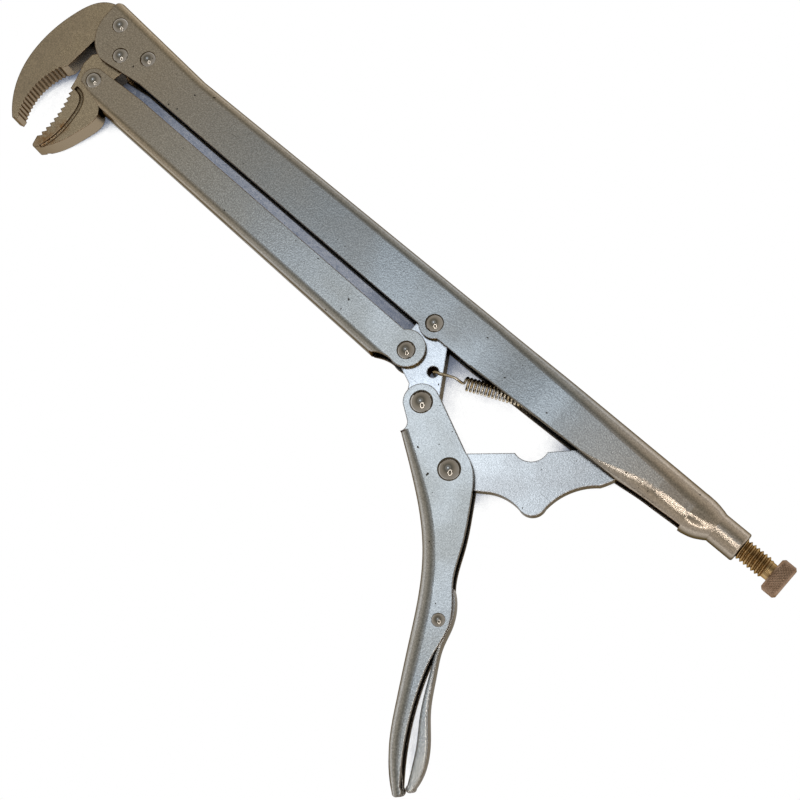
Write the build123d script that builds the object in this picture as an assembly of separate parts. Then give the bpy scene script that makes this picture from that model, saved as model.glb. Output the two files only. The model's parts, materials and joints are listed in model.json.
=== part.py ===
from build123d import *
import math
import os

# Long-reach locking pliers, lying on their side with the jaws open.
# Every length is in millimetres. While it is drawn, the rocker pivot is at x = y = 0 and the middle
# plane of the tool is z = 0. X runs along the back of the main frame from the jaws to the screw,
# Y points away from the lower handle, and Z is the thickness. The export moves the origin to the
# middle of the footprint, on the surface that the tool lies on.

# Driving dimensions: thickness of the pieces
SHEET = 2.0
CHANNEL_WIDTH = 13.4
SIDE_PLAY = 0.3
LINK_THICKNESS = 6.0
TAIL_WIDTH = 17.4
HALF_CHANNEL = CHANNEL_WIDTH / 2
HALF_INSIDE = HALF_CHANNEL - SHEET
HALF_JAW = HALF_INSIDE - SIDE_PLAY
HALF_LINK = LINK_THICKNESS / 2
HALF_TAIL = TAIL_WIDTH / 2
FOLD_RADIUS = 4.0

# Driving dimensions: pivots, as (x, y)
ROCKER_PIVOT = (0.0, 0.0)
CRANK = (-1.4, -15.3)
LOWER_JAW_PIVOT = (-181.5, 2.5)
PUSH_REAR = (ROCKER_PIVOT[0] + CRANK[0], ROCKER_PIVOT[1] + CRANK[1])
PUSH_FRONT = (LOWER_JAW_PIVOT[0] + CRANK[0], LOWER_JAW_PIVOT[1] + CRANK[1])
JAW_RIVET_TOP = (-191.3, 12.5)
JAW_RIVET_REAR = (-170.8, 8.8)
HANDLE_PIVOT = (17.1, -27.0)
LINK_PIVOT = (43.1, -39.9)
LEVER_PIVOT = (78.2, -85.7)
SPRING_HOLE = (12.1, -14.9)
LINK_TIP = (92.0, 9.3)

# Driving dimensions: rivets, as shank radius, head radius and head height
SMALL_RIVET = (2.4, 3.5, 2.0)
MIDDLE_RIVET = (2.6, 3.8, 2.2)
LARGE_RIVET = (3.2, 4.7, 2.7)
LEVER_RIVET = (1.7, 2.7, 1.3)
RUNNING_FIT = 0.06

# Driving dimensions: main frame
BACK_Y = 17.0
KINK_X = -145.5
FRONT_X = -199.7
FRONT_BACK_Y = 21.1
FRONT_CORNER = 2.4
FRAME_LOBE = 6.4
FLARE_START_X = 22.0
FLARE_END_X = 62.0
TUBE_START_X = 76.0
ROLL_END_X = 108.0
TUBE_END_X = 123.0
NECK_START_X = 133.5
NECK_END_X = 145.4
NECK_RADIUS = 6.3
LIP_HALF_GAP = 5.2
LIP_EDGE = 0.5
TAIL_LOW = (-4.1, -2.4, -0.9)
TAIL_TAPER = 0.5
TAIL_BACK_RADIUS = 8.0
TAIL_LIP_RADIUS = 7.2
SHOULDER_X = 128.5
SHOULDER_LOW = 0.2
SHOULDER_HIGH = 16.7
SHOULDER_HALF = 7.4
SHOULDER_RADIUS = 7.0
NECK_RIM = 0.8
SEAM_WIDTH = 0.9
SPRING_TAB_X = 62.0
SPRING_TAB_Y = 7.0

# Driving dimensions: screw and knob
SCREW_Y = LINK_TIP[1]
THREAD_RADIUS = 4.4
THREAD_PITCH = 1.72
THREAD_DEPTH = 0.85
SCREW_TIP_X = 105.2
KNOB_START_X = 159.6
KNOB_END_X = 166.2
KNOB_RADIUS = 7.2
KNOB_CHAMFER = 1.0

# Driving dimensions: teeth
RIB_COUNT = 16
RIB_DEPTH = 0.7
SAW_COUNT = 10
SAW_DEPTH = 1.3

# Driving dimensions: return spring
WIRE = 1.1
COIL_RADIUS = 2.35
COIL_TURNS = 20
COIL_PITCH = 1.52
HOOK_LENGTH = 13.0


def move(point, dx, dy):
    """The point shifted in the plane of the tool."""
    return (point[0] + dx, point[1] + dy)


def polar(centre, radius, degrees):
    """The point at an angle on a circle."""
    turn = math.radians(degrees)
    return (centre[0] + radius * math.cos(turn), centre[1] + radius * math.sin(turn))


def plate(edges, half):
    """A plate with this outline, of equal depth on both sides of the middle plane."""
    return extrude(make_face(edges), amount=half, both=True)


def polygon(points):
    """A closed straight-sided outline."""
    return Polyline(*points, close=True)


def disc(centre, radius, half):
    """A round post across the middle plane."""
    return Pos(centre[0], centre[1], 0) * Cylinder(radius, 2 * half)


def hull_plate(circles, half):
    """A plate round several lobes, each given as a centre and a radius."""
    rings = [Pos(centre[0], centre[1], 0) * Circle(radius) for centre, radius in circles]
    edges = [edge for ring in rings for edge in ring.edges()]
    return extrude(make_hull(edges), amount=half, both=True)


def edges_over(solid, curve, half):
    """The two edges of a solid that lie over and under a curve of its outline."""
    middle = curve @ 0.5
    found = []
    for edge in solid.edges():
        spot = edge @ 0.5
        if abs(abs(spot.Z) - half) < 0.01 and math.hypot(spot.X - middle.X, spot.Y - middle.Y) < 0.1:
            found.append(edge)
    return found


def offset_points(points, distances):
    """Points moved square to the run of the line, each by its own distance, to the left if positive."""
    moved = []
    for number, ((x, y), distance) in enumerate(zip(points, distances)):
        before = points[max(number - 1, 0)]
        after = points[min(number + 1, len(points) - 1)]
        run = math.hypot(after[0] - before[0], after[1] - before[1])
        left = ((before[1] - after[1]) / run, (after[0] - before[0]) / run)
        moved.append((x + distance * left[0], y + distance * left[1]))
    return moved


def round_sides(solid, points, radii, half):
    """The solid with the edges over and under a line rounded, by a radius for each point of the line.

    The solid lies to the left of the line, and its faces are half away from the middle plane."""
    clear = 1.0
    lefts = offset_points(points, [1.0] * len(points))
    for side in (1, -1):
        sections = []
        for (x, y), left, radius in zip(points, lefts, radii):
            inward = Vector(left[0] - x, left[1] - y, 0)
            flat = Plane(origin=(x, y, side * half), x_dir=inward, z_dir=inward.cross(Vector(0, 0, 1)))
            square = radius * (1 - math.sqrt(0.5))
            corners = [(0, -radius), (-clear, -radius), (-clear, clear), (radius, clear), (radius, 0)]
            round_edge = [(0, -radius), (square, -square), (radius, 0)]
            outline = [
                Polyline(*[(across, side * up) for across, up in corners]),
                ThreePointArc(*[(across, side * up) for across, up in round_edge]),
            ]
            sections.append(flat * make_face(outline))
        solid -= loft(sections)
    return solid


def toothed_arc(start, middle, end, count, depth, lean):
    """Points of a row of teeth along an arc: each crest is followed by a root, depth to its left.

    lean says where the root lies between two crests: 0.5 is an even V, less is a saw."""
    arc = ThreePointArc(start, middle, end)
    points = []
    for number in range(count):
        crest = arc @ (number / count)
        root = arc @ ((number + lean) / count)
        run = arc % ((number + lean) / count)
        points.append((crest.X, crest.Y))
        points.append((root.X - depth * run.Y, root.Y + depth * run.X))
    points.append(end)
    return points


def rivet(centre, size):
    """A rivet with a domed head on each face of a channel."""
    shank, head, height = size
    dome = (head * head + height * height) / (2 * height)
    shoulder = dome - height
    bend = math.atan2(head, shoulder) / 2
    top = HALF_CHANNEL + height
    cheek_r = dome * math.sin(bend)
    cheek_z = HALF_CHANNEL - shoulder + dome * math.cos(bend)
    edges = [
        Line((0, 0, -top), (0, 0, top)),
        ThreePointArc((0, 0, top), (cheek_r, 0, cheek_z), (head, 0, HALF_CHANNEL)),
        Line((head, 0, HALF_CHANNEL), (shank, 0, HALF_CHANNEL)),
        Line((shank, 0, HALF_CHANNEL), (shank, 0, -HALF_CHANNEL)),
        Line((shank, 0, -HALF_CHANNEL), (head, 0, -HALF_CHANNEL)),
        ThreePointArc((head, 0, -HALF_CHANNEL), (cheek_r, 0, -cheek_z), (0, 0, -top)),
    ]
    return Pos(centre[0], centre[1], 0) * revolve(make_face(edges), axis=Axis.Z)


def back_line(x):
    """Height of the frame's outer back at x: level, then rising forward of the kink."""
    rise = (FRONT_BACK_Y - BACK_Y) / (KINK_X - FRONT_X)
    return BACK_Y + max(0.0, KINK_X - x) * rise


def tail_section(x, low, high, half, back_radius, lip_radius):
    """A rounded four-sided section square to X, with its own corner radii at the back and the lips."""
    def corner(y, z, y_sign, z_sign, radius):
        square = radius * (1 - math.sqrt(0.5))
        first = (x, y, z - z_sign * radius)
        last = (x, y - y_sign * radius, z)
        half_way = (x, y - y_sign * square, z - z_sign * square)
        return first, half_way, last

    back_up = corner(high, half, 1, 1, back_radius)
    lip_up = corner(low, half, -1, 1, lip_radius)
    lip_down = corner(low, -half, -1, -1, lip_radius)
    back_down = corner(high, -half, 1, -1, back_radius)
    edges = [
        Line(back_down[0], back_up[0]),
        ThreePointArc(*back_up),
        Line(back_up[2], lip_up[2]),
        ThreePointArc(lip_up[2], lip_up[1], lip_up[0]),
        Line(lip_up[0], lip_down[0]),
        ThreePointArc(*lip_down),
        Line(lip_down[2], back_down[2]),
        ThreePointArc(back_down[2], back_down[1], back_down[0]),
    ]
    return make_face(edges)


def front_channel():
    """The long folded channel, from the jaws to where the handle begins to flare."""
    lobe_in = polar(ROCKER_PIVOT, FRAME_LOBE, 220)
    lobe_low = polar(ROCKER_PIVOT, FRAME_LOBE, 270)
    lobe_out = polar(ROCKER_PIVOT, FRAME_LOBE, 320)
    nose_low = (-188.0, -3.9)
    level_back = Line((FLARE_START_X, BACK_Y), (KINK_X, BACK_Y))
    rising_back = Line((KINK_X, BACK_Y), (FRONT_X, FRONT_BACK_Y))
    edges = [
        level_back,
        rising_back,
        Line((FRONT_X, FRONT_BACK_Y), (FRONT_X, 12.0)),
        ThreePointArc((FRONT_X, 12.0), (-196.5, 2.0), nose_low),
        Line(nose_low, (-184.6, -3.8)),
        Line((-184.6, -3.8), (-166.0, -1.6)),
        Line((-166.0, -1.6), lobe_in),
        ThreePointArc(lobe_in, lobe_low, lobe_out),
        Line(lobe_out, (FLARE_START_X, lobe_out[1])),
        Line((FLARE_START_X, lobe_out[1]), (FLARE_START_X, BACK_Y)),
    ]
    outside = plate(edges, HALF_CHANNEL)
    folds = edges_over(outside, level_back, HALF_CHANNEL) + edges_over(outside, rising_back, HALF_CHANNEL)
    outside = fillet(folds, FOLD_RADIUS)
    ends = (FRONT_X - 10, FLARE_START_X + 10)
    inside_back = [(x, back_line(x) - SHEET) for x in (ends[1], KINK_X, ends[0])]
    inside = plate(polygon(inside_back + [(ends[0], -30), (ends[1], -30)]), HALF_INSIDE)
    round_centre = (FRONT_X + FRONT_CORNER, FRONT_BACK_Y - FRONT_CORNER)
    corner = Pos(FRONT_X, FRONT_BACK_Y, 0) * Box(2 * FRONT_CORNER, 2 * FRONT_CORNER, 2 * CHANNEL_WIDTH)
    corner -= disc(round_centre, FRONT_CORNER, CHANNEL_WIDTH)
    return outside - inside - corner


def ease(x, start, end):
    """A smooth rise from 0 at start to 1 at end."""
    share = min(max((x - start) / (end - start), 0.0), 1.0)
    return share * share * (3 - 2 * share)


def tail_shape(x):
    """Underside, half width, back radius and lip radius of the tail at x."""
    along_channel = min((x - FLARE_START_X) / (TUBE_START_X - FLARE_START_X), 1.0)
    along_tail = (x - FLARE_START_X) / (TUBE_END_X - FLARE_START_X)
    roll = ease(x, TUBE_START_X, ROLL_END_X)
    along_tube = max(x - TUBE_START_X, 0.0) / (TUBE_END_X - TUBE_START_X)
    low = TAIL_LOW[0] + (TAIL_LOW[1] - TAIL_LOW[0]) * along_channel
    low += (TAIL_LOW[2] - TAIL_LOW[1]) * along_tube
    half = HALF_CHANNEL + (HALF_TAIL - HALF_CHANNEL) * ease(x, FLARE_START_X, FLARE_END_X)
    half -= TAIL_TAPER * ease(x, ROLL_END_X, TUBE_END_X)
    back = FOLD_RADIUS + (TAIL_BACK_RADIUS - FOLD_RADIUS) * along_tail
    lip = LIP_EDGE + (TAIL_LIP_RADIUS - LIP_EDGE) * roll
    return low, half, back, lip


def tail_loft(stations, inset, floor, lip_inset):
    """A smooth solid through the tail's sections, drawn in by inset, with its floor raised by floor."""
    sections = []
    for x in stations:
        low, half, back, lip = tail_shape(x)
        lip = max(lip - lip_inset, LIP_EDGE)
        sections.append(tail_section(x, low + floor, BACK_Y - inset, half - inset, back - inset, lip))
    return loft(sections)


def tail_tube():
    """The handle end: the walls flare out and roll into an oval tube, open along its underside."""
    def between(start, end, steps):
        return [start + (end - start) * number / steps for number in range(steps + 1)]

    flare = between(FLARE_START_X, FLARE_END_X, 4)
    channel = between(FLARE_END_X, TUBE_START_X, 2)
    roll = between(TUBE_START_X, ROLL_END_X, 4)
    taper = between(ROLL_END_X, TUBE_END_X, 3)
    below = -8.0
    tube = Part()
    for stations in (flare, channel, roll, taper):
        tube += tail_loft(stations, 0, 0, 0)
    for stations in (flare, channel):
        tube -= tail_loft(stations, SHEET, below, TAIL_LIP_RADIUS)
    for stations in (roll, taper):
        tube -= tail_loft(stations, SHEET, SHEET, SHEET)
    mouth_length = TUBE_END_X - FLARE_START_X
    mouth = Pos(FLARE_START_X + mouth_length / 2, -3, 0) * Box(mouth_length, 12, 2 * LIP_HALF_GAP)
    return tube - mouth


def neck():
    """The swaged shoulder and the round neck that holds the screw, with its rolled seam."""
    low, half, back, lip = tail_shape(TUBE_END_X)
    almost = NECK_RADIUS - 0.1
    shoulder = loft(
        [
            tail_section(TUBE_END_X, low, BACK_Y, half, back, lip),
            tail_section(
                SHOULDER_X, SHOULDER_LOW, SHOULDER_HIGH, SHOULDER_HALF, SHOULDER_RADIUS, SHOULDER_RADIUS
            ),
            tail_section(
                NECK_START_X, SCREW_Y - NECK_RADIUS, SCREW_Y + NECK_RADIUS, NECK_RADIUS, almost, almost
            ),
        ]
    )
    length = NECK_END_X - NECK_START_X
    collar = Pos(NECK_START_X + length / 2, SCREW_Y, 0) * Rot(0, 90, 0) * Cylinder(NECK_RADIUS, length)
    whole = shoulder + collar
    circles = whole.edges().filter_by(GeomType.CIRCLE)
    rim = [edge for edge in circles if abs(edge.center().X - NECK_END_X) < 0.01]
    whole = fillet(rim, NECK_RIM)
    beyond = 2.0
    bore_length = NECK_END_X - TUBE_END_X + 2 * beyond
    bore_centre = Pos(TUBE_END_X + bore_length / 2 - beyond, SCREW_Y, 0)
    bore = bore_centre * Rot(0, 90, 0) * Cylinder(THREAD_RADIUS + RUNNING_FIT, bore_length)
    seam_height = NECK_RADIUS + 6
    seam = bore_centre * Pos(0, -seam_height / 2, 0) * Box(bore_length, seam_height, SEAM_WIDTH)
    return whole - bore - seam


def spring_tab():
    """A tongue lanced from the back of the frame, with a hole for the spring's far hook."""
    height = BACK_Y - SHEET + 0.5 - SPRING_TAB_Y + 2.5
    tongue = Pos(SPRING_TAB_X, SPRING_TAB_Y - 2.5 + height / 2, 0) * Box(1.6, height, 5.0)
    hole = Pos(SPRING_TAB_X, SPRING_TAB_Y, 0) * Rot(0, 90, 0) * Cylinder(WIRE / 2 + 0.45, 6)
    return tongue - hole


def build_main_frame():
    frame = front_channel() + tail_tube() + neck() + spring_tab()
    for centre, size in (
        (JAW_RIVET_TOP, SMALL_RIVET),
        (JAW_RIVET_REAR, SMALL_RIVET),
        (LOWER_JAW_PIVOT, SMALL_RIVET),
        (ROCKER_PIVOT, MIDDLE_RIVET),
    ):
        frame -= disc(centre, size[0], HALF_CHANNEL + 1)
    return frame


def build_upper_jaw():
    """The fixed hook: a broad curved back, fine ribs, and a shank between the frame's walls."""
    tooth_start = (-199.0, -44.2)
    tooth_end = (-199.4, -17.2)
    ribs = toothed_arc(tooth_start, (-202.5, -29.0), tooth_end, RIB_COUNT, RIB_DEPTH, 0.5)
    rear_x = JAW_RIVET_REAR[0] + 5.5
    top_gap = SHEET + 0.1
    crown = (-199.0, back_line(-199.0) - top_gap)
    kept_clear = FRAME_LOBE
    hub_left = polar(LOWER_JAW_PIVOT, kept_clear, 152)
    hub_top = polar(LOWER_JAW_PIVOT, kept_clear, 95)
    hub_right = polar(LOWER_JAW_PIVOT, kept_clear, 38)
    back = [crown, (-207.2, 15.0), (-212.6, 4.4), (-215.3, -11.7), (-213.1, -28.4), (-207.4, -39.7)]
    edges = [
        Line((rear_x, back_line(rear_x) - top_gap), crown),
        Spline(*back, (-200.6, -47.0)),
        Line((-200.6, -47.0), (-198.6, -46.4)),
        Line((-198.6, -46.4), tooth_start),
        Polyline(*ribs),
        Line(tooth_end, (-197.8, -14.7)),
        Line((-197.8, -14.7), (-196.8, 0.8)),
        Line((-196.8, 0.8), (-190.5, 5.6)),
        Line((-190.5, 5.6), hub_left),
        ThreePointArc(hub_left, hub_top, hub_right),
        Line(hub_right, (JAW_RIVET_REAR[0], 3.6)),
        Line((JAW_RIVET_REAR[0], 3.6), (rear_x, 6.0)),
        Line((rear_x, 6.0), (rear_x, back_line(rear_x) - top_gap)),
    ]
    jaw = plate(edges, HALF_JAW)
    for centre in (JAW_RIVET_TOP, JAW_RIVET_REAR):
        jaw -= disc(centre, SMALL_RIVET[0], HALF_JAW + 1)
    return jaw


def build_lower_jaw():
    """The moving hook: saw teeth, a curved groove behind them on both faces, and two pivot holes."""
    tooth_start = (-189.6, -21.4)
    tooth_end = (-185.9, -46.0)
    saw = toothed_arc(tooth_start, (-186.1, -33.0), tooth_end, SAW_COUNT, SAW_DEPTH, 0.3)
    belly = [(-182.6, -50.0), (-176.4, -42.0), (-172.8, -32.5), (-171.3, -24.0)]
    front_lobe = 5.0
    lobe_low = polar(PUSH_FRONT, front_lobe + 6.0, -38)
    lobe_right = polar(PUSH_FRONT, front_lobe, 20)
    hub = 5.9
    edges = [
        Polyline(*saw),
        Line(tooth_end, (-185.0, -49.4)),
        ThreePointArc((-185.0, -49.4), (-184.1, -50.5), (-182.6, -50.0)),
        Spline(*belly, lobe_low),
        Line(lobe_low, lobe_right),
        Line(lobe_right, polar(LOWER_JAW_PIVOT, hub, 0)),
        ThreePointArc(
            polar(LOWER_JAW_PIVOT, hub, 0), polar(LOWER_JAW_PIVOT, hub, 90), polar(LOWER_JAW_PIVOT, hub, 184)
        ),
        Line(polar(LOWER_JAW_PIVOT, hub, 184), (-192.8, -4.6)),
        Line((-192.8, -4.6), (-193.0, -9.6)),
        Line((-193.0, -9.6), (-190.4, -17.8)),
        Line((-190.4, -17.8), tooth_start),
    ]
    jaw = plate(edges, HALF_JAW)
    groove_points = [(-188.0, -19.9), (-182.4, -21.9), (-179.6, -30.5), (-179.2, -38.5), (-181.4, -48.6)]
    for side in (1, -1):
        path = Spline(*[(x, y, side * HALF_JAW) for x, y in groove_points])
        start_face = Plane(origin=path @ 0, z_dir=path % 0)
        jaw -= sweep(start_face * Circle(0.9), path=path)
    for centre in (LOWER_JAW_PIVOT, PUSH_FRONT):
        jaw -= disc(centre, SMALL_RIVET[0] + RUNNING_FIT, HALF_JAW + 1)
    return jaw


def build_push_bar():
    """The folded bar beside the frame, with an ear round a rivet at each end."""
    front_lobe = 5.5
    rear_lobe = 7.2
    top_front = move(PUSH_FRONT, 0.6, front_lobe)
    top_rear = (-7.6, -9.5)
    fold_front = (-171.0, -20.7)
    fold_rear = (-13.0, -25.2)
    cut_rear = polar(PUSH_REAR, rear_lobe, 246)
    fold_line = Line(fold_rear, fold_front)
    edges = [
        ThreePointArc(polar(PUSH_FRONT, front_lobe, 222), polar(PUSH_FRONT, front_lobe, 150), top_front),
        Line(top_front, (-160.0, -6.4)),
        Line((-160.0, -6.4), top_rear),
        ThreePointArc(top_rear, polar(PUSH_REAR, rear_lobe, 0), cut_rear),
        ThreePointArc(cut_rear, (-8.6, -22.6), fold_rear),
        fold_line,
        Line(fold_front, (-177.5, -18.6)),
        Line((-177.5, -18.6), polar(PUSH_FRONT, front_lobe, 222)),
    ]
    outside = plate(edges, HALF_CHANNEL)
    outside = fillet(edges_over(outside, fold_line, HALF_CHANNEL), FOLD_RADIUS)
    inner = [move(fold_front, 0, SHEET), move(fold_rear, 0, SHEET), (fold_rear[0], -40), (20, -40), (20, 20)]
    inside = plate(polygon(inner + [(-220, 20), (-220, -40), (fold_front[0], -40)]), HALF_INSIDE)
    bar = outside - inside
    bar -= disc(PUSH_FRONT, SMALL_RIVET[0], HALF_CHANNEL + 1)
    return bar - disc(PUSH_REAR, MIDDLE_RIVET[0], HALF_CHANNEL + 1)


def build_rocker_plate():
    """The thick plate that turns in the frame and carries the push bar, the handle and the spring."""
    plate_solid = hull_plate([(ROCKER_PIVOT, 6.3), (HANDLE_PIVOT, 6.5)], HALF_JAW)
    plate_solid += hull_plate([(ROCKER_PIVOT, 6.0), (PUSH_REAR, 5.0)], HALF_JAW)
    web = [ROCKER_PIVOT, PUSH_REAR, (-0.4, -20.2), (1.4, -21.8), (8.6, -24.8), HANDLE_PIVOT]
    plate_solid += plate(polygon(web), HALF_JAW)
    for centre, size in (
        (ROCKER_PIVOT, MIDDLE_RIVET),
        (PUSH_REAR, MIDDLE_RIVET),
        (HANDLE_PIVOT, LARGE_RIVET),
    ):
        plate_solid -= disc(centre, size[0] + RUNNING_FIT, HALF_JAW + 1)
    return plate_solid - disc(SPRING_HOLE, 2.3, HALF_JAW + 1)


def build_lower_handle():
    """The folded handle: two ears on the pivot, the fold along its outer side, open towards the frame."""
    ear = 7.3
    outer_side = [
        (18.5, -41.1), (29.4, -48.5), (41.4, -57.3), (54.3, -69.1), (64.6, -82.7),
        (75.7, -101.9), (85.1, -118.2), (95.7, -134.3), (107.2, -145.0),
    ]
    open_side = [
        (43.1, -30.7), (52.0, -35.8), (57.5, -43.5), (66.3, -58.6), (73.3, -72.1), (78.6, -78.2),
        (82.8, -85.4), (85.0, -95.8), (90.7, -112.8), (97.8, -126.5), (108.2, -141.2),
    ]
    ear_left = polar(HANDLE_PIVOT, ear, 225)
    ear_right = polar(HANDLE_PIVOT, ear, 62)
    fold_radii = [3.4, 4.2, 5.2, 5.8, 6.2, 6.2, 5.6, 4.6, 3.2]
    edges = [
        Spline(*outer_side),
        ThreePointArc(outer_side[-1], (109.6, -144.6), open_side[-1]),
        Spline(*reversed(open_side)),
        Line(open_side[0], ear_right),
        ThreePointArc(ear_right, polar(HANDLE_PIVOT, ear, 145), ear_left),
        Line(ear_left, (17.6, -36.0)),
        ThreePointArc((17.6, -36.0), (19.1, -38.4), outer_side[0]),
    ]
    past_tip = move(outer_side[-1], 5.0, -4.6)
    fold_line = outer_side + [past_tip]
    outside = round_sides(plate(edges, HALF_CHANNEL), fold_line, fold_radii + fold_radii[-1:], HALF_CHANNEL)
    inner_side = offset_points(fold_line, [SHEET] * len(fold_line))
    hollow = [
        Spline(*inner_side),
        Polyline(inner_side[-1], (140, -140), (90, -20), (0, -10), (0, -40), inner_side[0]),
    ]
    inner_radii = [radius - SHEET for radius in fold_radii + fold_radii[-1:]]
    handle = outside - round_sides(plate(hollow, HALF_INSIDE), inner_side, inner_radii, HALF_INSIDE)
    for centre, size in ((HANDLE_PIVOT, LARGE_RIVET), (LINK_PIVOT, LARGE_RIVET), (LEVER_PIVOT, LEVER_RIVET)):
        handle -= disc(centre, size[0], HALF_CHANNEL + 1)
    return handle


def build_toggle_link():
    """The flat link: a round eye on the handle, a notch, a belly that the lever pushes, and a round tip."""
    eye = 6.7
    tip = 4.0
    edges = [
        ThreePointArc(polar(LINK_PIVOT, eye, 300), polar(LINK_PIVOT, eye, 215), polar(LINK_PIVOT, eye, 131)),
        Line(polar(LINK_PIVOT, eye, 131), (57.6, -18.4)),
        ThreePointArc((57.6, -18.4), (64.7, -16.8), (67.0, -10.0)),
        Line((67.0, -10.0), polar(LINK_TIP, tip, 142)),
        ThreePointArc(polar(LINK_TIP, tip, 142), polar(LINK_TIP, tip, 45), polar(LINK_TIP, tip, -35)),
        ThreePointArc(polar(LINK_TIP, tip, -35), (93.0, -2.6), (90.6, -7.1)),
        ThreePointArc((90.6, -7.1), (82.8, -17.0), (80.4, -27.0)),
        ThreePointArc((80.4, -27.0), (78.4, -32.8), (72.6, -33.8)),
        ThreePointArc((72.6, -33.8), (65.6, -34.2), (60.3, -36.3)),
        Line((60.3, -36.3), polar(LINK_PIVOT, eye, 300)),
    ]
    link = plate(edges, HALF_LINK)
    return link - disc(LINK_PIVOT, LARGE_RIVET[0] + RUNNING_FIT, HALF_LINK + 1)


def build_release_lever():
    """The formed lever in the handle: ears on a small rivet, a short nose and a curved thumb blade."""
    half = HALF_INSIDE - SIDE_PLAY
    wall = 1.4
    outer = [
        (74.4, -73.2), (79.3, -77.9), (82.9, -84.6), (85.2, -92.4), (90.5, -102.4),
        (97.4, -113.4), (105.4, -122.5), (110.2, -130.0), (112.3, -138.2),
    ]
    inner = [(84.3, -94.0), (90.3, -106.0), (96.6, -117.4), (102.5, -125.8), (106.0, -131.9), (109.6, -138.8)]
    tip = (111.8, -140.6)
    nose_low = (73.4, -75.2)
    ear = 4.4
    ear_top = polar(LEVER_PIVOT, ear, 130)
    ear_side = polar(LEVER_PIVOT, ear, 205)
    ear_low = polar(LEVER_PIVOT, ear, 280)
    blade_edges = [
        Spline(*outer),
        ThreePointArc(outer[-1], tip, inner[-1]),
        Spline(*reversed(inner)),
        Line(inner[0], ear_low),
        ThreePointArc(ear_low, ear_side, ear_top),
        Polyline(ear_top, nose_low, outer[0]),
    ]
    lever = plate(blade_edges, half)
    back = offset_points(outer, [-wall] * len(outer))
    hollow = [
        Spline(*back[1:]),
        Polyline(back[-1], (107.0, -146.0), (84.0, -120.0), (70.0, -90.0), (70.0, -78.0), back[1]),
    ]
    lever -= plate(hollow, half - wall)
    bush = disc(LEVER_PIVOT, 2.9, half)
    return lever + bush - disc(LEVER_PIVOT, LEVER_RIVET[0] + RUNNING_FIT, half + 1)


def bend_pair(start, start_run, end, end_run):
    """Two arcs that join two points, tangent to the given directions at both ends and to each other."""
    across = end - start
    both = start_run + end_run
    spread = 2 * (1 - start_run.dot(end_run))
    reach = across.dot(both)
    length = (-reach + math.sqrt(reach * reach + spread * across.dot(across))) / spread
    joint = (start + end + (start_run - end_run) * length) * 0.5
    first = TangentArc(start, joint, tangent=start_run)
    return [first, TangentArc(joint, end, tangent=first % 1)]


def spring_path():
    """The spring's centre line: a hook through the rocker's hole, the coil, and a hook in the tab."""
    near = Vector(SPRING_HOLE[0], SPRING_HOLE[1], 0)
    far = Vector(SPRING_TAB_X, SPRING_TAB_Y, 0)
    along = (far - near).normalized()
    up = Vector(0, 0, 1)
    side = up.cross(along)

    def coil_point(turn):
        angle = 2 * math.pi * turn
        ring = up * math.cos(angle) + side * math.sin(angle)
        return near + along * (HOOK_LENGTH + COIL_PITCH * turn) + ring * COIL_RADIUS

    def coil_run(turn):
        angle = 2 * math.pi * turn
        ring = side * math.cos(angle) - up * math.sin(angle)
        return (ring * (2 * math.pi * COIL_RADIUS) + along * COIL_PITCH).normalized()

    over_face = HALF_JAW + WIRE / 2 + 0.35
    bend = 1.3
    lead = near + along * 8.6 + up * over_face
    hook_foot = near - up * 1.5
    hook_top = near + up * (over_face - bend)
    hook_over = near + along * bend + up * over_face
    pieces = [Line(hook_foot, hook_top), TangentArc(hook_top, hook_over, tangent=up), Line(hook_over, lead)]
    pieces += bend_pair(lead, along, coil_point(0), coil_run(0))
    steps = COIL_TURNS * 4
    for step in range(steps):
        turn, after = step / 4, (step + 1) / 4
        pieces += bend_pair(coil_point(turn), coil_run(turn), coil_point(after), coil_run(after))
    tail_start = far - along * 5.0
    pieces += bend_pair(coil_point(COIL_TURNS), coil_run(COIL_TURNS), tail_start, along)
    tail_bend = far + along * 1.6
    tail_top = tail_bend + along * bend + up * bend
    pieces += [
        Line(tail_start, tail_bend),
        TangentArc(tail_bend, tail_top, tangent=along),
        Line(tail_top, tail_top + up * 1.6),
    ]
    return pieces


def least_gap(pieces):
    """Smallest clear distance between parts of the wire that are over three wire widths apart along it."""
    samples = []
    travelled = 0.0
    for piece in pieces:
        for number in range(4):
            samples.append((travelled + piece.length * number / 4, piece @ (number / 4)))
        travelled += piece.length
    gap = math.inf
    for number, (place, spot) in enumerate(samples):
        for other_place, other in samples[number + 1:]:
            if other_place - place > 3 * WIRE:
                gap = min(gap, (other - spot).length - WIRE)
    return gap


def build_return_spring():
    pieces = spring_path()
    print("return spring, least gap to itself:", round(least_gap(pieces), 2), "mm")
    wire = Wire(pieces)
    section = Plane(origin=pieces[0] @ 0, z_dir=pieces[0] % 0) * Circle(WIRE / 2)
    return sweep(section, path=wire)


def build_adjusting_screw():
    """The threaded shank: a plain point, ridges at the thread's pitch, and a spigot in the knob."""
    root = THREAD_RADIUS - THREAD_DEPTH
    spigot_end = KNOB_END_X - 2.0
    ridges = int((KNOB_START_X - SCREW_TIP_X - 2.0) / THREAD_PITCH)
    points = [(SCREW_TIP_X, 0), (SCREW_TIP_X, root - 0.8), (SCREW_TIP_X + 0.8, root)]
    for number in range(ridges):
        start = SCREW_TIP_X + 1.0 + number * THREAD_PITCH
        points.append((start, root))
        points.append((start + 0.42 * THREAD_PITCH, THREAD_RADIUS))
        points.append((start + 0.58 * THREAD_PITCH, THREAD_RADIUS))
    points += [(SCREW_TIP_X + 1.0 + ridges * THREAD_PITCH, root), (spigot_end, root), (spigot_end, 0)]
    profile = make_face(polygon([(x, 0, radius) for x, radius in points]))
    return Pos(0, SCREW_Y, 0) * revolve(profile, axis=Axis.X)


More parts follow.
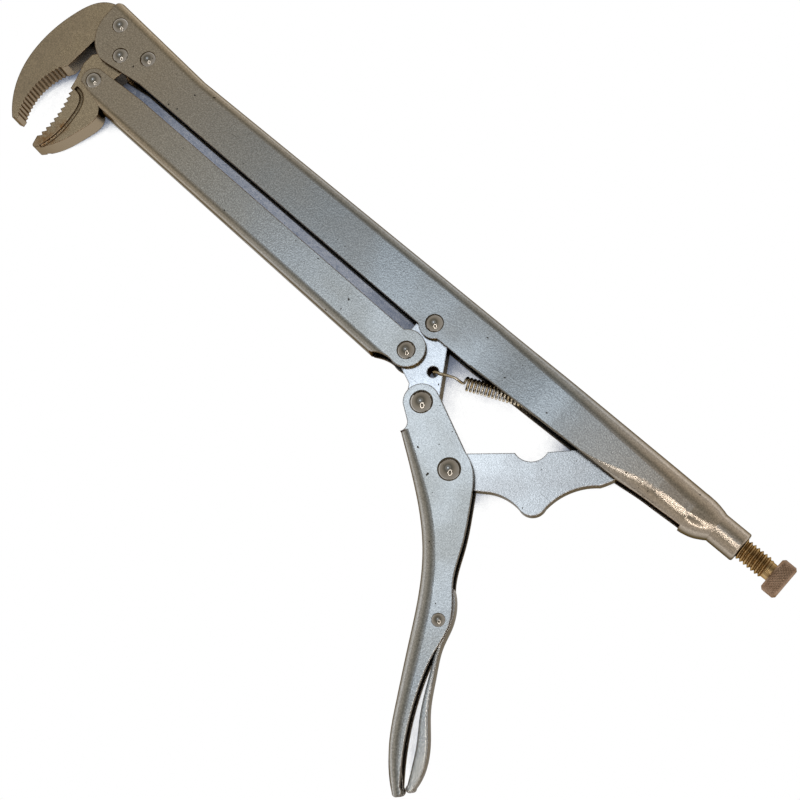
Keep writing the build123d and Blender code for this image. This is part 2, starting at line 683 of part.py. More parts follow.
def build_knurled_knob():
    """The round head, bevelled at both edges, with a socket for the shank."""
    root = THREAD_RADIUS - THREAD_DEPTH
    length = KNOB_END_X - KNOB_START_X
    place = Pos((KNOB_START_X + KNOB_END_X) / 2, SCREW_Y, 0) * Rot(0, 90, 0)
    knob = place * Cylinder(KNOB_RADIUS, length)
    knob = chamfer(knob.edges().filter_by(GeomType.CIRCLE), KNOB_CHAMFER)
    socket = Pos((KNOB_START_X + KNOB_END_X - 2.0) / 2, SCREW_Y, 0) * Rot(0, 90, 0)
    return knob - socket * Cylinder(root + 0.05, length - 2.0)


NODES = {
    "main_frame": build_main_frame(),
    "upper_jaw": build_upper_jaw(),
    "lower_jaw": build_lower_jaw(),
    "push_bar": build_push_bar(),
    "rocker_plate": build_rocker_plate(),
    "lower_handle": build_lower_handle(),
    "toggle_link": build_toggle_link(),
    "release_lever": build_release_lever(),
    "return_spring": build_return_spring(),
    "adjusting_screw": build_adjusting_screw(),
    "knurled_knob": build_knurled_knob(),
    "upper_jaw_rivet_top": rivet(JAW_RIVET_TOP, SMALL_RIVET),
    "upper_jaw_rivet_rear": rivet(JAW_RIVET_REAR, SMALL_RIVET),
    "lower_jaw_pivot": rivet(LOWER_JAW_PIVOT, SMALL_RIVET),
    "push_bar_front_rivet": rivet(PUSH_FRONT, SMALL_RIVET),
    "push_bar_rear_rivet": rivet(PUSH_REAR, MIDDLE_RIVET),
    "rocker_pivot": rivet(ROCKER_PIVOT, MIDDLE_RIVET),
    "handle_pivot": rivet(HANDLE_PIVOT, LARGE_RIVET),
    "link_pivot": rivet(LINK_PIVOT, LARGE_RIVET),
    "release_lever_rivet": rivet(LEVER_PIVOT, LEVER_RIVET),
}

# The origin goes to the middle of the footprint, at the lowest face.
boxes = [solid.bounding_box() for solid in NODES.values()]
MIDDLE_X = (min(box.min.X for box in boxes) + max(box.max.X for box in boxes)) / 2
MIDDLE_Y = (min(box.min.Y for box in boxes) + max(box.max.Y for box in boxes)) / 2
LOWEST_Z = min(box.min.Z for box in boxes)
SHIFT = (-MIDDLE_X, -MIDDLE_Y, -LOWEST_Z)

os.makedirs("parts", exist_ok=True)
for name, solid in NODES.items():
    export_step(Pos(*SHIFT) * solid, f"parts/{name}.step")
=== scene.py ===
import bpy
import json
import math
from mathutils import Matrix, Vector


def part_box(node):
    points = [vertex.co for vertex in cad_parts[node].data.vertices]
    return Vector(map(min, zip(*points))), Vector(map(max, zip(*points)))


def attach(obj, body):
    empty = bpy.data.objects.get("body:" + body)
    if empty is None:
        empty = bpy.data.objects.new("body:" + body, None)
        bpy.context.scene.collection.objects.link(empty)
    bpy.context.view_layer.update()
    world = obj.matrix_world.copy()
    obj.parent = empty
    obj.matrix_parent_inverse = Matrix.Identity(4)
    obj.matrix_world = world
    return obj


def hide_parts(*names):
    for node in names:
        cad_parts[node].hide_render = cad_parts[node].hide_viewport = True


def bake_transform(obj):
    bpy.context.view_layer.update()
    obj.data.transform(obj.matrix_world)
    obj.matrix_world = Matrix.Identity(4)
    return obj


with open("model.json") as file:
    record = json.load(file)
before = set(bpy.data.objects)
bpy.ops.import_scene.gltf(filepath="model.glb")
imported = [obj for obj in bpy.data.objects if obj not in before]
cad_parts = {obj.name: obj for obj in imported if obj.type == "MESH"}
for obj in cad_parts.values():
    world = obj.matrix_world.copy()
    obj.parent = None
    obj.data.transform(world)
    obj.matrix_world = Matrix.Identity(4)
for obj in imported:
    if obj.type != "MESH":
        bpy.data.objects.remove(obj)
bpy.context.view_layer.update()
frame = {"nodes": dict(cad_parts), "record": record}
nodes = frame["nodes"]

# Lengths in this script are in millimetres from the rocker pivot, in the middle plane of the tool.
# place() turns them into metres in the row frame.
MM = 0.001
low_corner, high_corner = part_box("rocker_pivot")
ROCKER = (Vector(low_corner) + Vector(high_corner)) / 2


def place(x, y, z=0.0):
    """A point of the tool, given in millimetres from the rocker pivot, in the row frame."""
    return ROCKER + Vector((x, y, z)) * MM


# Camera: the photograph's frame is square, and its width and focal length are in picture elements
PICTURE = 800
FOCAL = 1570
SENSOR = 36.0
CLIP_START = 50.0
CAMERA_AT = (168.0, -78.9, 596.2)
CAMERA_UP = Vector((-0.6261, 0.7460, 0.2270))
CAMERA_BACK = Vector((0.2577, -0.0768, 0.9632))


def turned(up, back, at):
    """A matrix for something that looks along minus back from a point."""
    z_axis = back.normalized()
    x_axis = up.cross(z_axis).normalized()
    y_axis = z_axis.cross(x_axis)
    matrix = Matrix((x_axis, y_axis, z_axis)).transposed().to_4x4()
    matrix.translation = at
    return matrix


def add_camera():
    data = bpy.data.cameras.new("camera")
    data.sensor_width = SENSOR
    data.lens = SENSOR * FOCAL / PICTURE
    data.clip_start = CLIP_START * MM
    camera = bpy.data.objects.new("camera", data)
    bpy.context.scene.collection.objects.link(camera)
    camera.matrix_world = turned(CAMERA_UP, CAMERA_BACK, place(*CAMERA_AT))
    bpy.context.scene.camera = camera


# Light: a tall ring of small lamps beside the camera, and a room with a bright patch overhead
RING_LAMPS = 18
RING_AT = (290.0, -225.0, 540.0)
RING_AIM = (30.0, -30.0, 0.0)
RING_RADIUS = 170.0
RING_TALL = 1.5
RING_LAMP_SIZE = 40.0
RING_POWER = 0.6
RING_COLOUR = (1.0, 0.95, 0.9)
BRIGHT_PATCH = Vector((-0.2405, 0.0388, 0.9699))
ROOM_BY_DEGREES = [
    (0, (1.45, 1.62, 1.78)),
    (5.5, (1.35, 1.50, 1.66)),
    (7.5, (0.36, 0.43, 0.49)),
    (11, (0.27, 0.30, 0.33)),
    (15, (0.31, 0.31, 0.30)),
    (20, (0.33, 0.32, 0.30)),
    (28, (0.17, 0.17, 0.15)),
    (42, (0.28, 0.26, 0.22)),
    (60, (0.44, 0.41, 0.36)),
    (90, (0.52, 0.50, 0.47)),
]


def add_lamps():
    """The ring of lamps, which the camera doesn't see."""
    at = place(*RING_AT)
    back = (at - place(*RING_AIM)).normalized()
    side = CAMERA_UP.cross(back).normalized()
    rise = back.cross(side)
    for number in range(RING_LAMPS):
        name = f"ring_lamp_{number}"
        data = bpy.data.lights.new(name, "AREA")
        data.shape = "DISK"
        data.size = RING_LAMP_SIZE * MM
        data.energy = RING_POWER / RING_LAMPS
        data.color = RING_COLOUR
        lamp = bpy.data.objects.new(name, data)
        bpy.context.scene.collection.objects.link(lamp)
        turn = 2 * math.pi * number / RING_LAMPS
        offset = (side * math.cos(turn) + rise * (RING_TALL * math.sin(turn))) * RING_RADIUS * MM
        lamp.matrix_world = turned(CAMERA_UP, back, at + offset)
        lamp.visible_camera = False


def add_room():
    """Light by the angle from the bright patch."""
    world = bpy.data.worlds.new("room")
    bpy.context.scene.world = world
    world.use_nodes = True
    tree = world.node_tree
    coords = tree.nodes.new("ShaderNodeTexCoord")
    dot = tree.nodes.new("ShaderNodeVectorMath")
    dot.operation = "DOT_PRODUCT"
    dot.inputs[1].default_value = BRIGHT_PATCH.normalized()
    angle = tree.nodes.new("ShaderNodeMath")
    angle.operation = "ARCCOSINE"
    share = tree.nodes.new("ShaderNodeMath")
    share.operation = "DIVIDE"
    share.inputs[1].default_value = math.pi
    ramp = tree.nodes.new("ShaderNodeValToRGB")
    fill_ramp(ramp, [(degrees / 180, colour) for degrees, colour in ROOM_BY_DEGREES])
    background = tree.nodes["Background"]
    tree.links.new(coords.outputs["Generated"], dot.inputs[0])
    tree.links.new(dot.outputs["Value"], angle.inputs[0])
    tree.links.new(angle.outputs[0], share.inputs[0])
    tree.links.new(share.outputs[0], ramp.inputs[0])
    tree.links.new(ramp.outputs[0], background.inputs["Color"])


def fill_ramp(ramp, stops):
    """Puts the given stops on a colour ramp."""
    elements = ramp.color_ramp.elements
    while len(elements) < len(stops):
        elements.new(0.5)
    for element, (at, colour) in zip(elements, stops):
        element.position = at
        element.color = (*colour, 1.0)


# Floor
FLOOR_HALF = 20000.0
FLOOR_ASIDE = 5000.0
FLOOR_BELOW = 0.2
FLOOR_COLOUR = (0.86, 0.86, 0.88)
FLOOR_SHADE = [
    (0.00, (0.006, 0.005, 0.005)),
    (0.06, (0.03, 0.03, 0.035)),
    (0.14, (0.13, 0.15, 0.20)),
    (0.25, (0.18, 0.21, 0.28)),
    (0.30, (1.0, 1.0, 1.0)),
]
FLOOR_REACH = 30.0


def add_floor():
    """A pale floor that keeps a close shadow and looks white to the camera and in the metal."""
    mesh = bpy.data.meshes.new("floor")
    corners = [(-1, -1), (1, -1), (1, 1), (-1, 1)]
    spread = [Vector((x * FLOOR_HALF, y * FLOOR_HALF + FLOOR_ASIDE, -FLOOR_BELOW)) for x, y in corners]
    mesh.from_pydata([corner * MM for corner in spread], [], [(0, 1, 2, 3)])
    floor = bpy.data.objects.new("floor", mesh)
    bpy.context.scene.collection.objects.link(floor)
    material = bpy.data.materials.new("pale_floor")
    material.use_nodes = True
    tree = material.node_tree
    tree.nodes.clear()
    paint = tree.nodes.new("ShaderNodeBsdfDiffuse")
    paint.inputs["Color"].default_value = (*FLOOR_COLOUR, 1.0)
    shade = tree.nodes.new("ShaderNodeAmbientOcclusion")
    shade.inputs["Distance"].default_value = FLOOR_REACH * MM
    ramp = tree.nodes.new("ShaderNodeValToRGB")
    fill_ramp(ramp, FLOOR_SHADE)
    glow = tree.nodes.new("ShaderNodeEmission")
    ray = tree.nodes.new("ShaderNodeLightPath")
    seen = tree.nodes.new("ShaderNodeMath")
    seen.operation = "MAXIMUM"
    seen_any = tree.nodes.new("ShaderNodeMath")
    seen_any.operation = "MAXIMUM"
    mix = tree.nodes.new("ShaderNodeMixShader")
    out = tree.nodes.new("ShaderNodeOutputMaterial")
    tree.links.new(shade.outputs["AO"], ramp.inputs[0])
    tree.links.new(ramp.outputs[0], glow.inputs["Color"])
    tree.links.new(ray.outputs["Is Camera Ray"], seen.inputs[0])
    tree.links.new(ray.outputs["Is Glossy Ray"], seen.inputs[1])
    tree.links.new(seen.outputs[0], seen_any.inputs[0])
    tree.links.new(ray.outputs["Is Transmission Ray"], seen_any.inputs[1])
    tree.links.new(seen_any.outputs[0], mix.inputs[0])
    tree.links.new(paint.outputs[0], mix.inputs[1])
    tree.links.new(glow.outputs[0], mix.inputs[2])
    tree.links.new(mix.outputs[0], out.inputs["Surface"])
    mesh.materials.append(material)


# Materials: colours, then the sizes and thresholds of the marks on the plate
GRAZING_TINT = (0.32, 0.28, 0.22)
# Brown on sharp edges: partly the real cut edges, partly painted edge shade.
BROWN_EDGE_AND_SHADE = (0.16, 0.075, 0.03)
# Painted shade: the dark colours that faces standing square to the flats turn to, for the plate and for
# the jaws.
SIDE_PAINTED_SHADE = (0.19, 0.16, 0.12)
JAW_SIDE_PAINTED_SHADE = (0.34, 0.275, 0.20)
DARK_SPECK = (0.05, 0.04, 0.03)
# Dark grime for the scratch marks, also used as painted shade in hollows and crevices.
GRIME_AND_SHADE = (0.05, 0.034, 0.02)
RUST = (0.42, 0.19, 0.05)
# Painted shade and reflection along the tool: a warm brown tint growing towards the jaws, and a warm
# pale tint growing along the tail.
FRONT_SHADE_TINT = (-60.0, -165.0, (0.66, 0.55, 0.41))
TAIL_REFLECTION_TINT = (60.0, 108.0, (0.68, 0.58, 0.48))
CLOUD_SIZE = 26.0
SPECK_SIZE = 2.2
SPECK_BAND = (0.77, 0.79)
SCRATCH_SIZE = 9.0
SCRATCH_STRETCH = (24, (0.35, 26, 1))
SCRATCH_BAND = (0.715, 0.74)
SCRATCH_PATCH_SIZE = 14.0
SCRATCH_SHARE = 0.5
SIDE_SHADE_BAND = (0.85, 0.3)
EDGE_BAND = (0.99, 0.86)
SHADER_SAMPLES = 6


class Metal:
    """A procedural metal, and the masks and marks that its colour is built up from."""

    def __init__(self, name):
        self.material = bpy.data.materials.new(name)
        self.material.use_nodes = True
        self.tree = self.material.node_tree
        self.shader = self.tree.nodes["Principled BSDF"]
        self.shader.inputs["Metallic"].default_value = 1.0
        self.shader.inputs["Specular Tint"].default_value = (*GRAZING_TINT, 1.0)
        self.coords = self.tree.nodes.new("ShaderNodeTexCoord").outputs["Object"]

    def link(self, start, end):
        self.tree.links.new(start, end)

    def noise(self, size, detail=2.0, stretch=None):
        """A noise whose features are about this many millimetres across."""
        node = self.tree.nodes.new("ShaderNodeTexNoise")
        node.inputs["Scale"].default_value = 1 / (size * MM)
        node.inputs["Detail"].default_value = detail
        if stretch:
            mapping = self.tree.nodes.new("ShaderNodeMapping")
            turn, scale = stretch
            mapping.inputs["Rotation"].default_value = (0, 0, math.radians(turn))
            mapping.inputs["Scale"].default_value = scale
            self.link(self.coords, mapping.inputs[0])
            self.link(mapping.outputs[0], node.inputs["Vector"])
        else:
            self.link(self.coords, node.inputs["Vector"])
        return node.outputs["Fac"]

    def band(self, value, low, high, start=0.0, end=1.0):
        """The value spread from low and high to start and end, and held there."""
        node = self.tree.nodes.new("ShaderNodeMapRange")
        node.inputs["From Min"].default_value = low
        node.inputs["From Max"].default_value = high
        node.inputs["To Min"].default_value = start
        node.inputs["To Max"].default_value = end
        self.link(value, node.inputs["Value"])
        return node.outputs[0]

    def math(self, operation, first, second):
        node = self.tree.nodes.new("ShaderNodeMath")
        node.operation = operation
        for socket, value in zip(node.inputs, (first, second)):
            if isinstance(value, (int, float)):
                socket.default_value = value
            else:
                self.link(value, socket)
        return node.outputs[0]

    def mix(self, factor, first, second):
        """The first colour, turning into the second where the factor is 1."""
        node = self.tree.nodes.new("ShaderNodeMix")
        node.data_type = "RGBA"
        self.link(factor, node.inputs["Factor"])
        for socket, value in ((node.inputs[6], first), (node.inputs[7], second)):
            if isinstance(value, tuple):
                socket.default_value = (*value, 1.0)
            else:
                self.link(value, socket)
        return node.outputs[2]

    def edges(self, width):
        """1 along sharp edges and 0 elsewhere, and a normal that rounds the edges off."""
        soft = self.tree.nodes.new("ShaderNodeBevel")
        soft.samples = SHADER_SAMPLES
        soft.inputs["Radius"].default_value = width * MM
        plain = self.tree.nodes.new("ShaderNodeNewGeometry")
        dot = self.tree.nodes.new("ShaderNodeVectorMath")
        dot.operation = "DOT_PRODUCT"
        self.link(soft.outputs[0], dot.inputs[0])
        self.link(plain.outputs["Normal"], dot.inputs[1])
        return self.band(dot.outputs["Value"], *EDGE_BAND), soft.outputs[0]

    def crevices(self, reach):
        """1 in the open and 0 in deep corners."""
        node = self.tree.nodes.new("ShaderNodeAmbientOcclusion")
        node.inputs["Distance"].default_value = reach * MM
        node.samples = SHADER_SAMPLES
        node.only_local = True
        return node.outputs["AO"]

    def sides(self, flat, upright):
        """0 on the flats of the tool and 1 on the faces that stand square to them."""
        plain = self.tree.nodes.new("ShaderNodeNewGeometry")
        split = self.tree.nodes.new("ShaderNodeSeparateXYZ")
        self.link(plain.outputs["Normal"], split.inputs[0])
        return self.band(self.math("ABSOLUTE", split.outputs["Z"], 0.0), flat, upright)

    def along(self, start, end):
        """0 up to one distance along the tool from the rocker pivot, and 1 beyond another."""
        split = self.tree.nodes.new("ShaderNodeSeparateXYZ")
        self.link(self.coords, split.inputs[0])
        return self.band(split.outputs["X"], place(start, 0).x, place(end, 0).x)

    def near(self, point, reach):
        """1 at a point of the tool, fading to 0 at this many millimetres from it."""
        away = self.tree.nodes.new("ShaderNodeVectorMath")
        away.operation = "DISTANCE"
        self.link(self.coords, away.inputs[0])
        away.inputs[1].default_value = place(*point)
        return self.band(away.outputs["Value"], reach * MM, 0.0)

    def bump(self, height, depth, strength, normal=None):
        node = self.tree.nodes.new("ShaderNodeBump")
        node.inputs["Strength"].default_value = strength
        node.inputs["Distance"].default_value = depth * MM
        self.link(height, node.inputs["Height"])
        if normal:
            self.link(normal, node.inputs["Normal"])
        return node.outputs[0]

    def finish(self, colour, roughness, normal):
        self.link(colour, self.shader.inputs["Base Color"])
        self.link(roughness, self.shader.inputs["Roughness"])
        self.link(normal, self.shader.inputs["Normal"])
        return self.material


def plated_metal(name, plate, warm, roughness, grain=0.6, grain_depth=0.03, edge=0.6, edge_share=0.9,
                 shade_reach=25, side=SIDE_PAINTED_SHADE, light_zones=(), rust=()):
    """Satin plate over blasted steel with dark specks, grime scratches and rust spots; painted shade on
    its sides and in its hollows, sharp edges browned partly as real cut edges and partly as painted
    shade, and optional tints along the tool as painted shade and reflection.
    """
    metal = Metal(name)
    cloud = metal.band(metal.noise(CLOUD_SIZE, 3), 0.4, 0.65)
    colour = metal.mix(cloud, plate, warm)
    # Painted shade and reflection: tints that grow along the tool.
    for start, end, tint in light_zones:
        colour = metal.mix(metal.along(start, end), colour, tint)
    fine = metal.noise(grain, 3)
    coarse = metal.noise(2.4 * grain, 2)
    height = metal.math("ADD", fine, metal.math("MULTIPLY", coarse, 0.7))
    sparkle = metal.band(fine, 0.4, 0.64, 0.8, 1.12)
    tinted = metal.tree.nodes.new("ShaderNodeVectorMath")
    tinted.operation = "SCALE"
    metal.link(colour, tinted.inputs[0])
    metal.link(sparkle, tinted.inputs["Scale"])
    speck = metal.band(metal.noise(SPECK_SIZE, 1), *SPECK_BAND)
    colour = metal.mix(speck, tinted.outputs[0], DARK_SPECK)
    scratch_long = metal.noise(SCRATCH_SIZE, 1, SCRATCH_STRETCH)
    scratch_mask = metal.band(metal.noise(SCRATCH_PATCH_SIZE, 1), 0.52, 0.66)
    scratch = metal.math("MULTIPLY", metal.band(scratch_long, *SCRATCH_BAND), scratch_mask)
    colour = metal.mix(metal.math("MULTIPLY", scratch, SCRATCH_SHARE), colour, GRIME_AND_SHADE)
    for point, reach in rust:
        spot = metal.math("MULTIPLY", metal.near(point, reach), metal.band(coarse, 0.3, 0.6))
        colour = metal.mix(spot, colour, RUST)
    # Painted shade on the faces that stand square to the flats of the tool.
    colour = metal.mix(metal.sides(*SIDE_SHADE_BAND), colour, side)
    edge_mask, soft_normal = metal.edges(edge)
    # Sharp edges turn brown: partly real cut edges, partly painted edge shade.
    colour = metal.mix(metal.math("MULTIPLY", edge_mask, edge_share), colour, BROWN_EDGE_AND_SHADE)
    # Painted shade: darker where the part's own walls close it in, such as inside the channels.
    hollow_shade = metal.band(metal.crevices(shade_reach), 0.5, 0.86, 0.97, 0.0)
    colour = metal.mix(hollow_shade, colour, GRIME_AND_SHADE)
    rough = metal.band(metal.math("ADD", cloud, fine), 0.3, 1.6, roughness - 0.03, roughness + 0.04)
    return metal.finish(colour, rough, metal.bump(height, grain_depth, 0.6, soft_normal))


def bright_metal(name, plate, warm, roughness, edge=0.12):
    """Bright plate on the rivet heads, with dark specks and small pits."""
    metal = Metal(name)
    cloud = metal.band(metal.noise(5, 3), 0.4, 0.7)
    colour = metal.mix(cloud, plate, warm)
    pits = metal.noise(0.5, 2)
    speck = metal.band(metal.noise(1.4, 1), 0.74, 0.78)
    colour = metal.mix(speck, colour, DARK_SPECK)
    # Painted shade: darker where the head's own shape closes it in.
    open_air = metal.crevices(1.6)
    colour = metal.mix(metal.band(open_air, 0.35, 0.75, 0.9, 0.0), colour, GRIME_AND_SHADE)
    rough = metal.band(metal.noise(2.5, 3), 0.3, 0.7, roughness, roughness + 0.06)
    soft_normal = metal.edges(edge)[1]
    return metal.finish(colour, rough, metal.bump(pits, 0.012, 0.35, soft_normal))


def oiled_metal(name, plate, warm, roughness, root_shade_colour, reach):
    """Brown oiled steel: golden crests, and roots darkened as painted shade."""
    metal = Metal(name)
    cloud = metal.band(metal.noise(4, 3), 0.38, 0.62)
    colour = metal.mix(cloud, plate, warm)
    # Painted shade: darker in the roots of the coils, threads and knurls.
    open_air = metal.crevices(reach)
    colour = metal.mix(metal.band(open_air, 0.25, 0.8, 0.95, 0.0), colour, root_shade_colour)
    rough = metal.band(metal.noise(1.2, 2), 0.3, 0.7, roughness - 0.06, roughness + 0.1)
    fine = metal.noise(0.35, 2)
    return metal.finish(colour, rough, metal.bump(fine, 0.02, 0.4))


def paint_nodes():
    """Gives each node its metal: most by the slot in the record, a few by their own name."""
    steel = (0.62, 0.62, 0.61)
    warm_steel = (0.58, 0.57, 0.54)
    shaded_frame_steel = (0.51, 0.52, 0.52)
    warm_shaded_frame_steel = (0.48, 0.475, 0.46)
    jaw_steel = (0.74, 0.58, 0.38)
    warm_jaw_steel = (0.60, 0.47, 0.32)
    rocker_highlight_steel = (0.96, 0.97, 1.0)
    warm_rocker_highlight_steel = (0.90, 0.91, 0.94)
    link_highlight_steel = (0.83, 0.82, 0.81)
    warm_link_highlight_steel = (0.77, 0.75, 0.74)
    rivet_steel = (0.50, 0.47, 0.43)
    warm_rivet_steel = (0.40, 0.37, 0.33)
    rust_spots = (((-181.4, -45.0, 4.4), 7.0), ((-180.2, -36.0, 4.4), 4.0))
    jaw_look = {"grain": 0.5, "grain_depth": 0.025, "shade_reach": 3, "side": JAW_SIDE_PAINTED_SHADE}
    sheet = plated_metal("satin_nickel", steel, warm_steel, 0.2, light_zones=(FRONT_SHADE_TINT,))
    # Painted shade: a darker copy of the satin nickel for the main frame.
    shaded_frame = plated_metal("shaded_frame_nickel", shaded_frame_steel, warm_shaded_frame_steel, 0.2, light_zones=(FRONT_SHADE_TINT, TAIL_REFLECTION_TINT))
    # The lever's edge band is 1.6 mm wide, so its brown also paints shade along the rounded edges.
    lever = plated_metal("lever_nickel", steel, warm_steel, 0.19, edge=1.6, edge_share=0.35)
    forged = plated_metal("forged_nickel", jaw_steel, warm_jaw_steel, 0.28, **jaw_look)
    rusty = plated_metal("rusty_nickel", jaw_steel, warm_jaw_steel, 0.28, rust=rust_spots, **jaw_look)
    # Painted highlight: a near-white copy of the nickel for the rocker plate, which sits in the bright
    # reflection.
    pale = plated_metal("rocker_highlight_nickel", rocker_highlight_steel, warm_rocker_highlight_steel, 0.21, grain=0.5, grain_depth=0.025)
    # Painted highlight: a lighter copy of the nickel for the toggle link, in the bright zone near the
    # rocker.
    link = plated_metal("link_highlight_nickel", link_highlight_steel, warm_link_highlight_steel, 0.21, grain=0.5)
    bright = bright_metal("polished_nickel", rivet_steel, warm_rivet_steel, 0.04)
    chosen = {"satin_nickel": sheet, "forged_nickel": forged, "polished_nickel": bright}
    special = {
        "main_frame": shaded_frame,
        "rocker_plate": pale,
        "toggle_link": link,
        "lower_jaw": rusty,
        "release_lever": lever,
    }
    for row in frame["record"]["subparts"]:
        node = nodes[row["node"]]
        material = chosen.get(row["material_slot"])
        material = special.get(row["node"], material)
        if material:
            node.data.materials.clear()
            node.data.materials.append(material)


# Return spring
WIRE = 1.1
COIL_RADIUS = 2.35
COIL_TURNS = 20
COIL_PITCH = 1.52
HOOK_LENGTH = 13.0
HOOK_BEND = 1.3
HOOK_DROP = 1.5
ROCKER_HALF = 4.4
LEAD_GAP = 0.35
LEAD_LENGTH = 8.6
TAIL_LENGTH = 5.0
TAIL_HOOK = 1.6
BEND_STEPS = 6
LEAD_STEPS = 4
JOIN_STEPS = 12
STEPS_PER_TURN = 24
WIRE_SIDES = 12
SPRING_NEAR = Vector((12.1, -14.9, 0))
SPRING_FAR = Vector((62.0, 7.0, 0))
LEAD_HEIGHT = ROCKER_HALF + WIRE / 2 + LEAD_GAP


def curve_points(start, start_run, end, end_run, steps):
    """Points of a smooth bend between two points with given directions."""
    reach = (end - start).length
    points = []
    for number in range(1, steps + 1):
        t = number / steps
        points.append(
            start * (2 * t ** 3 - 3 * t ** 2 + 1) + start_run * (reach * (t ** 3 - 2 * t ** 2 + t))
            + end * (-2 * t ** 3 + 3 * t ** 2) + end_run * (reach * (t ** 3 - t ** 2))
        )
    return points


def spring_points():
    """The spring's centre line, from the hook in the rocker to the hook in the frame."""
    along = (SPRING_FAR - SPRING_NEAR).normalized()
    up = Vector((0, 0, 1))
    side = up.cross(along)

    def coil_point(turn):
        angle = 2 * math.pi * turn
        ring = up * math.cos(angle) + side * math.sin(angle)
        return SPRING_NEAR + along * (HOOK_LENGTH + COIL_PITCH * turn) + ring * COIL_RADIUS

    def coil_run(turn):
        angle = 2 * math.pi * turn
        ring = side * math.cos(angle) - up * math.sin(angle)
        return (ring * (2 * math.pi * COIL_RADIUS) + along * COIL_PITCH).normalized()

    hook_top = SPRING_NEAR + up * (LEAD_HEIGHT - HOOK_BEND)
    hook_over = SPRING_NEAR + along * HOOK_BEND + up * LEAD_HEIGHT
    lead = SPRING_NEAR + along * LEAD_LENGTH + up * LEAD_HEIGHT
    points = [SPRING_NEAR - up * HOOK_DROP, hook_top]
    points += curve_points(hook_top, up, hook_over, along, BEND_STEPS)
    points += curve_points(hook_over, along, lead, along, LEAD_STEPS)
    points += curve_points(lead, along, coil_point(0), coil_run(0), JOIN_STEPS)
    coil_steps = range(1, COIL_TURNS * STEPS_PER_TURN + 1)
    points += [coil_point(step / STEPS_PER_TURN) for step in coil_steps]
    tail_start = SPRING_FAR - along * TAIL_LENGTH
    coil_end = coil_point(COIL_TURNS)
    points += curve_points(coil_end, coil_run(COIL_TURNS), tail_start, along, JOIN_STEPS)
    tail_bend = SPRING_FAR + along * TAIL_HOOK
    tail_top = tail_bend + along * HOOK_BEND + up * HOOK_BEND
    points.append(tail_bend)
    points += curve_points(tail_bend, along, tail_top, up, BEND_STEPS)
    points.append(tail_top + up * TAIL_HOOK)
    return points


def new_piece(name, vertices, faces, material):
    """A smooth-shaded mesh object from points in millimetres."""
    mesh = bpy.data.meshes.new(name)
    mesh.from_pydata([place(*point) for point in vertices], [], faces)
    mesh.materials.append(material)
    mesh.shade_smooth()
    piece = bpy.data.objects.new(name, mesh)
    bpy.context.scene.collection.objects.link(piece)
    return piece


def tube(points, radius, sides):
    """Vertices and faces of a round wire along a line of points, closed at both ends."""
    vertices = []
    faces = []
    across = Vector((1, 0, 0))
    for number, point in enumerate(points):
        run = (points[min(number + 1, len(points) - 1)] - points[max(number - 1, 0)]).normalized()
        across = (across - run * across.dot(run)).normalized()
        other = run.cross(across)
        for step in range(sides):
            turn = 2 * math.pi * step / sides
            vertices.append(point + (across * math.cos(turn) + other * math.sin(turn)) * radius)
        if number:
            first = (number - 1) * sides
            for step in range(sides):
                after = (step + 1) % sides
                faces.append((first + step, first + after, first + sides + after, first + sides + step))
    faces.append(tuple(reversed(range(sides))))
    faces.append(tuple(range(len(vertices) - sides, len(vertices))))
    return vertices, faces


def add_spring():
    bright_wire = (0.86, 0.80, 0.70)
    golden_wire = (0.62, 0.48, 0.28)
    steel = oiled_metal("spring_steel", bright_wire, golden_wire, 0.22, (0.03, 0.016, 0.01), 2.2)
    vertices, faces = tube(spring_points(), WIRE / 2, WIRE_SIDES)
    spring = new_piece("spring_wire", vertices, faces, steel)
    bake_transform(spring)
    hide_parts("return_spring")


# Adjusting screw and knob
SCREW_Y = 9.3
THREAD_RADIUS = 4.4
THREAD_DEPTH = 0.85
THREAD_PITCH = 1.72
THREAD_FLAT = 0.12
POINT_CUT = 0.8
RUN_OUT_GAP = 1.6
SCREW_IN_KNOB = 0.4
SCREW_STATIONS = 400
SCREW_SIDES = 40
SCREW_START = 105.2
KNOB_START = 159.6
KNOB_END = 166.2
KNOB_RADIUS = 7.2
KNOB_CHAMFER = 1.0
KNURL_COUNT = 34
KNURL_DEPTH = 0.32
KNOB_STATIONS = 44
STEPS_PER_KNURL = 8


def lathe(name, stations, radius_at, sides, material):
    """A closed round piece along X: a radius for each station and angle."""
    vertices = []
    faces = []
    for number, x in enumerate(stations):
        for step in range(sides):
            turn = 2 * math.pi * step / sides
            radius = radius_at(x, turn)
            vertices.append((x, SCREW_Y + radius * math.cos(turn), radius * math.sin(turn)))
        if number:
            first = (number - 1) * sides
            for step in range(sides):
                after = (step + 1) % sides
                faces.append((first + step, first + sides + step, first + sides + after, first + after))
    faces.append(tuple(range(sides)))
    faces.append(tuple(reversed(range(len(vertices) - sides, len(vertices)))))
    return new_piece(name, vertices, faces, material)


def even_steps(start, end, count):
    """Evenly spaced places from start to end, both included."""
    return [start + (end - start) * number / count for number in range(count + 1)]


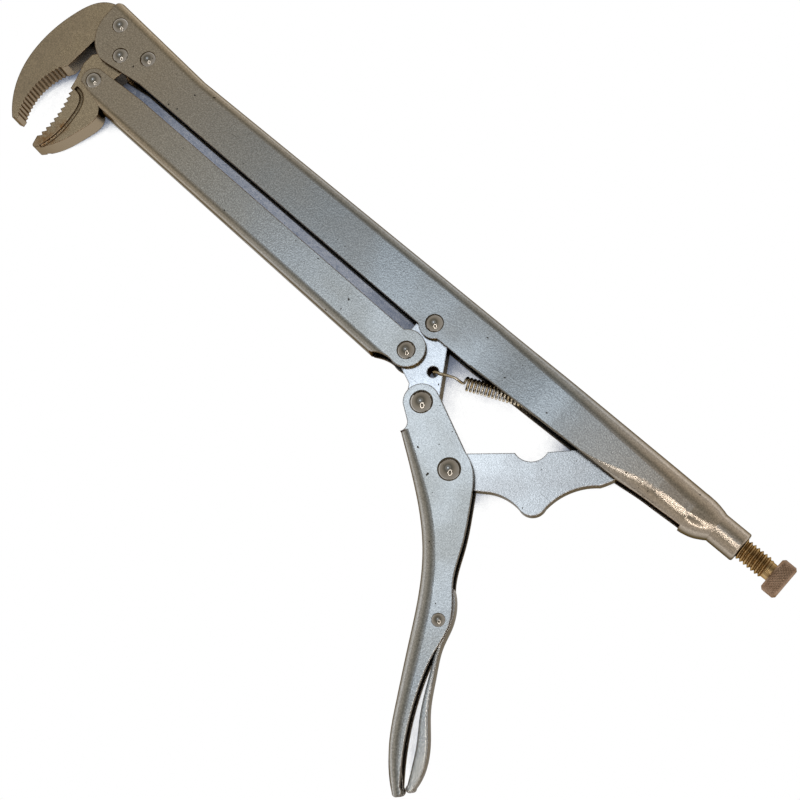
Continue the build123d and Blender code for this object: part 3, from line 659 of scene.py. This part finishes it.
def saw(value):
    """A triangle wave from 0 to 1 and back, with a period of 1."""
    return abs(2 * (value % 1.0) - 1)


def add_screw():
    golden = (0.54, 0.37, 0.18)
    dark_golden = (0.40, 0.26, 0.12)
    brown = oiled_metal("bronzed_steel", golden, dark_golden, 0.3, (0.03, 0.016, 0.008), 1.2)
    root = THREAD_RADIUS - THREAD_DEPTH

    def thread(x, turn):
        slope = saw(x / THREAD_PITCH - turn / (2 * math.pi))
        ridge = min(max((1 - slope - THREAD_FLAT) / (1 - 2 * THREAD_FLAT), 0.0), 1.0)
        point = root - POINT_CUT + (x - SCREW_START)
        run_out = min(max((KNOB_START - RUN_OUT_GAP - x) / THREAD_PITCH, 0.0), 1.0)
        return min(root + THREAD_DEPTH * ridge * run_out, point)

    stations = even_steps(SCREW_START, KNOB_START + SCREW_IN_KNOB, SCREW_STATIONS)
    screw = lathe("screw_thread", stations, thread, SCREW_SIDES, brown)
    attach(screw, "screw")
    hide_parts("adjusting_screw")


def add_knob():
    tan = (0.46, 0.32, 0.23)
    dark_tan = (0.36, 0.24, 0.165)
    dull = oiled_metal("knob_steel", tan, dark_tan, 0.42, (0.05, 0.028, 0.016), 0.9)

    def knurl(x, turn):
        share = turn / (2 * math.pi) * KNURL_COUNT
        lean = (x - KNOB_START) / (2 * math.pi * KNOB_RADIUS) * KNURL_COUNT
        groove = 1 - min(saw(share + lean), saw(share - lean))
        edge = min(x - KNOB_START, KNOB_END - x)
        bevel = min(KNOB_RADIUS, KNOB_RADIUS - KNOB_CHAMFER + edge)
        return min(KNOB_RADIUS - KNURL_DEPTH * groove ** 2, bevel)

    stations = even_steps(KNOB_START, KNOB_END, KNOB_STATIONS)
    knob = lathe("knob_knurl", stations, knurl, STEPS_PER_KNURL * KNURL_COUNT, dull)
    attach(knob, "knob")
    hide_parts("knurled_knob")


bpy.context.scene.view_settings.view_transform = "Standard"
add_camera()
add_lamps()
add_room()
add_floor()
paint_nodes()
add_spring()
add_screw()
add_knob()
